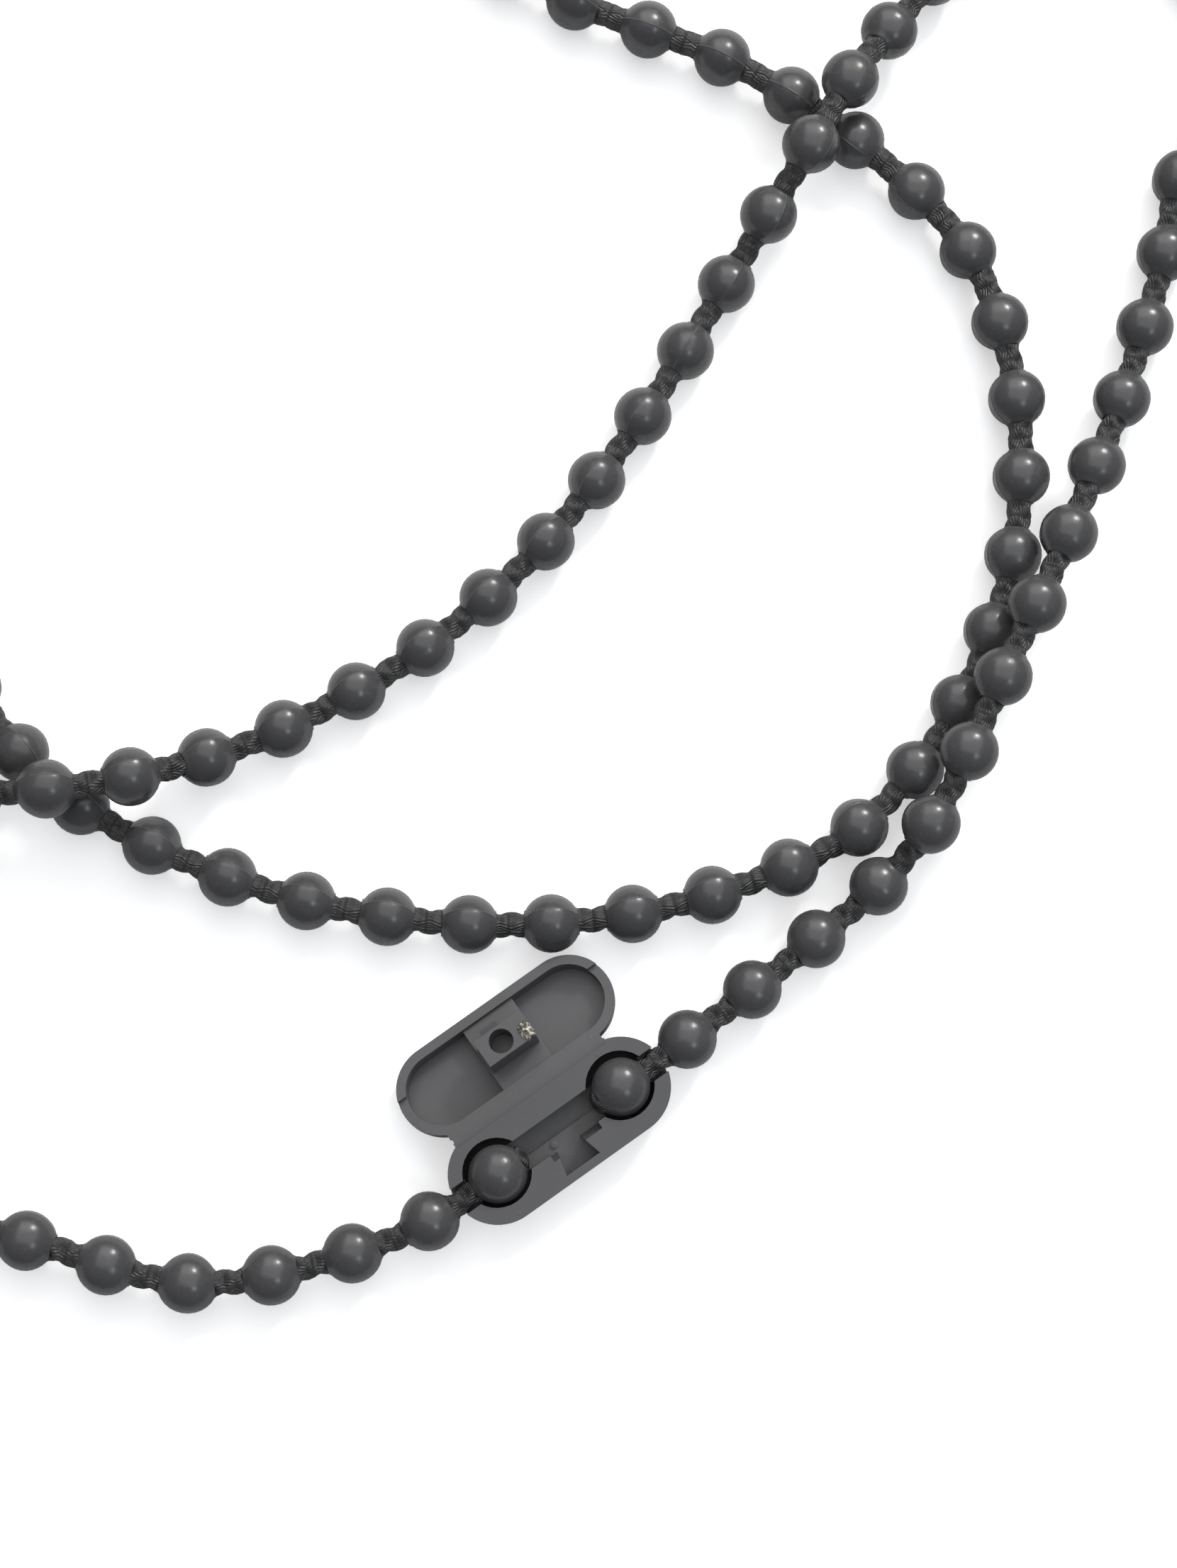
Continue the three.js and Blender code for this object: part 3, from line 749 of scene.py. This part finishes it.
beads = Finish("bead_plastic", IOR=1.5)
on_bead = beads.attribute("own_place", "Vector")
number = beads.attribute("bead_number", "Fac")
shift = beads.node("ShaderNodeCombineXYZ", inputs={"X": number * 7.31, "Y": number * 3.17})
shifted = beads.node("ShaderNodeVectorMath", {"operation": "ADD"}, {0: on_bead, 1: shift})
from_parting = beads.split(on_bead)[2].maths("ABSOLUTE")
parting = from_parting.below(PARTING_WIDTH, 0.05)
cloud = beads.noise(shifted, 0.7, 3.0)
grain = beads.noise(shifted, 9.0, 3.0, 0.6)
worn = beads.noise(shifted, 2.2, 4.0, 0.65).between(0.52, 0.72)
paleness = worn * 0.5 + parting * 0.6 + (cloud - 0.5) * 0.5
beads.set("Base Color", beads.mix(paleness, BEAD_COLOUR, BEAD_WORN))
beads.set("Roughness", 0.24 + worn * 0.08 + (grain - 0.5) * 0.1 + parting * 0.1)
relief = parting * 1.6 + grain * 0.08 + cloud * 0.4 - from_parting * 4
beads.set("Normal", beads.bump(relief, 0.6, 0.04))
beads.put_on(bead_chain)

# %% [markdown]
# ## Braided cord
# The cord is a dark polyester braid. Its strands really bulge in the mesh. The yarns in a strand
# are far finer, so they are bump: thin lines that run with the strand, to the left on one set and
# to the right on the other. The same two cosines as in the mesh say which set is on top.

# %% Braided cord
CORD_COLOUR = (0.028, 0.028, 0.029, 1)
# the paler colour, used for the painted sheen on the strands and for random fibre tone
CORD_SHEEN_AND_FIBRE_TONE = (0.06, 0.06, 0.059, 1)
YARNS = 24  # round the cord

braid = Finish("braided_cord", IOR=1.5)
on_cord = braid.attribute("own_place", "Vector")
turned = braid.attribute("along", "Fac") * (2 * math.pi / BRAID_PERIOD)
_, y_own, z_own = braid.split(on_cord)
around = z_own.maths("ARCTAN2", y_own)
left = (around * STRANDS + turned).maths("COSINE")
right = (around * STRANDS - turned).maths("COSINE")
left_on_top = (right - left).below(0.0, 0.15)
yarns_left = (around * YARNS - turned * 2).maths("SINE")
yarns_right = (around * YARNS + turned * 2).maths("SINE")
yarns = yarns_left * left_on_top + yarns_right * (1 - left_on_top)
crown = left.maths("MAXIMUM", right)
fibre = braid.noise(on_cord, 5.0, 3.0)
painted_sheen_and_fibre_tone = crown * 0.3 + yarns * 0.15 + fibre * 0.35
# Painted sheen: the crowns of the strands and the yarn lines are painted paler, as if lit, and the
# fibre noise varies the tone at random.
braid.set("Base Color", braid.mix(painted_sheen_and_fibre_tone, CORD_COLOUR, CORD_SHEEN_AND_FIBRE_TONE))
braid.set("Roughness", 0.42 + (fibre - 0.5) * 0.3)
braid.set("Normal", braid.bump(yarns * 0.4 + crown * 0.8 + fibre, 0.8, 0.09))
braid.put_on(bead_chain)

# %% [markdown]
# ## Connector plastic
# The connector is a shade lighter than the beads and has a faint cool tint. Its surface is a
# slightly uneven satin: flow marks where the plastic ran round the pockets, fine grain from the
# steel, and a few bright pimples. The pattern is solid, in Object coordinates, so it runs on over
# every edge of the moulding as it would in real plastic.

# %% Connector plastic
CONNECTOR_COLOUR = (0.078, 0.078, 0.08, 1)
CONNECTOR_PALE = (0.1, 0.099, 0.106, 1)

satin = Finish("connector_plastic", IOR=1.49)
where = satin.node("ShaderNodeTexCoord", output="Object")
flow = satin.noise(where, 160.0, 3.0, 0.55)
grain = satin.noise(where, 2600.0, 3.0, 0.6)
cells = {"Vector": where, "Scale": 900.0}
pimples = satin.node("ShaderNodeTexVoronoi", inputs=cells, output="Distance").below(0.09, 0.08)
rare = satin.noise(where, 240.0, 1.0).maths("GREATER_THAN", 0.6)
satin.set("Base Color", satin.mix((flow - 0.3) * 1.6, CONNECTOR_COLOUR, CONNECTOR_PALE))
satin.set("Roughness", 0.4 + (flow - 0.5) * 0.25 + (grain - 0.5) * 0.15)
satin.set("Normal", satin.bump(flow * 0.9 + grain * 0.12 + pimples * rare * 0.5, 0.5, 0.05))
satin.put_on(base, lid, film, *ejector_marks)

# %% [markdown]
# The torn corner is the same plastic, stretched until it broke. Its flakes are painted pale, as
# painted glints of the lamp, and are glossier, while it stays dark in between, so it glitters where
# the rest is satin.

# %% Raw plastic
RAW_DARK = (0.075, 0.07, 0.06, 1)
RAW_PAINTED_GLINT = (0.72, 0.68, 0.56, 1)

raw = Finish("raw_plastic", IOR=1.5)
where = raw.node("ShaderNodeTexCoord", output="Object")
crumbs = raw.noise(where, 3400.0, 3.0, 0.6)
painted_glints = crumbs.between(0.48, 0.6)
# Painted glints: pale flakes of colour stand for the lamp's light caught on the torn facets.
raw.set("Base Color", raw.mix(painted_glints, RAW_DARK, RAW_PAINTED_GLINT))
raw.set("Roughness", 0.3 - painted_glints * 0.14)
raw.set("Normal", raw.bump(crumbs, 1.0, 0.15))
raw.put_on(tear)

# %% [markdown]
# ## Tie plastic
# The band that holds the coil is a pale soft plastic, matt and a little dusty. One noise is
# enough for it: the same specks lighten the colour and roughen the surface.

# %% Tie plastic
TIE_COLOUR = (0.56, 0.56, 0.53, 1)
TIE_DUST = (0.66, 0.66, 0.64, 1)

band = Finish("tie_plastic", IOR=1.46, Roughness=0.6)
where = band.node("ShaderNodeTexCoord", output="Object")
dust = band.noise(where, 700.0, 3.0)
band.set("Base Color", band.mix(dust, TIE_COLOUR, TIE_DUST))
band.set("Normal", band.bump(dust, 0.4, 0.03))
band.put_on(tie)

# %% [markdown]
# ## Floor and sky
# The picture has a pure white ground with hardly any shadow. The floor is an ordinary pale
# surface that takes the chain's shadow, and Light Path's Is Camera Ray adds the last step to white
# for the camera alone, so that no extra light reaches the beads. The sky does the same: it is
# white to the camera and only a faint fill to everything else. The floor is small, because its
# far parts would be lit less and look grey beside that sky.

# %% Floor and sky
FLOOR_REACH = 0.22  # metres from its middle to each side
FLOOR_MIDDLE = (-0.02, 0.04, 0)
FLOOR_COLOUR = (0.8, 0.8, 0.8, 1)
FLOOR_GLOW = (0.5, 0.5, 0.5, 1)
SKY_FILL = 0.2

floor_mesh = bpy.data.meshes.new("floor")
bm = bmesh.new()
bmesh.ops.create_grid(bm, x_segments=1, y_segments=1, size=FLOOR_REACH)
bmesh.ops.translate(bm, vec=FLOOR_MIDDLE, verts=bm.verts)
bm.to_mesh(floor_mesh)
bm.free()
floor = new_object("floor", floor_mesh)
table_top = Finish("table_top", Roughness=0.7)
table_top.set("Base Color", FLOOR_COLOUR)
seen = table_top.node("ShaderNodeLightPath", output="Is Camera Ray")
table_top.set("Emission Color", table_top.mix(seen, (0, 0, 0, 1), FLOOR_GLOW))
table_top.set("Emission Strength", 1)
table_top.put_on(floor)

world = bpy.data.worlds.new("sky")
bpy.context.scene.world = world
world.use_nodes = True
background = world.node_tree.nodes["Background"]
background.inputs["Color"].default_value = (1, 1, 1, 1)
sky = Graph(world.node_tree)
seen = sky.node("ShaderNodeLightPath", output="Is Camera Ray")
sky.join(background.inputs["Strength"], seen * (1 - SKY_FILL) + SKY_FILL)
print("the floor is", 2 * FLOOR_REACH, "m wide")

# %% [markdown]
# ## Lamps
# The picture was lit by soft daylight. The lamps are named after what would give it. The window is
# small and at the upper right, and gives each bead its bright spot. The bright wall is wider and at
# the top, and spreads a sheen beside that spot. The ceiling is the widest and lights everything
# softly from above. The cool one is weak, at the lower right, and leaves the faint patch below the
# middle of each bead. A sun or a picture of a sky would be quicker to set, but neither would put
# the spots where they belong.

# %% Lamps
AIM = Vector((0, 30, 0)) * MM  # the middle of the view


def lamp(name, towards, distance, size, power, colour):
    """A square lamp that shines on the middle of the view from the given direction."""
    data = bpy.data.lights.new(name, "AREA")
    data.shape = "SQUARE"
    data.size = size
    data.energy = power
    data.color = colour
    made = bpy.data.objects.new(name, data)
    direction = Vector(towards).normalized()
    made.location = AIM + direction * distance
    made.rotation_mode = "QUATERNION"
    made.rotation_quaternion = direction.to_track_quat("Z", "Y")
    bpy.context.scene.collection.objects.link(made)
    print(name, power, "W")


# name, direction, distance and size in metres, power in watts, colour
lamp("window", (0.42, 0.72, 0.62), 0.6, 0.1, 1.35, (1, 0.985, 0.95))
lamp("bright wall", (0.02, 0.78, 0.62), 0.6, 0.5, 0.95, (1, 0.99, 0.97))
lamp("ceiling", (0.1, 0.4, 0.9), 0.6, 0.9, 3, (0.98, 0.99, 1))
lamp("cool", (0.39, -0.4, 0.825), 0.5, 0.1, 0.2, (0.75, 0.85, 1))
bpy.context.scene.view_settings.view_transform = "Standard"
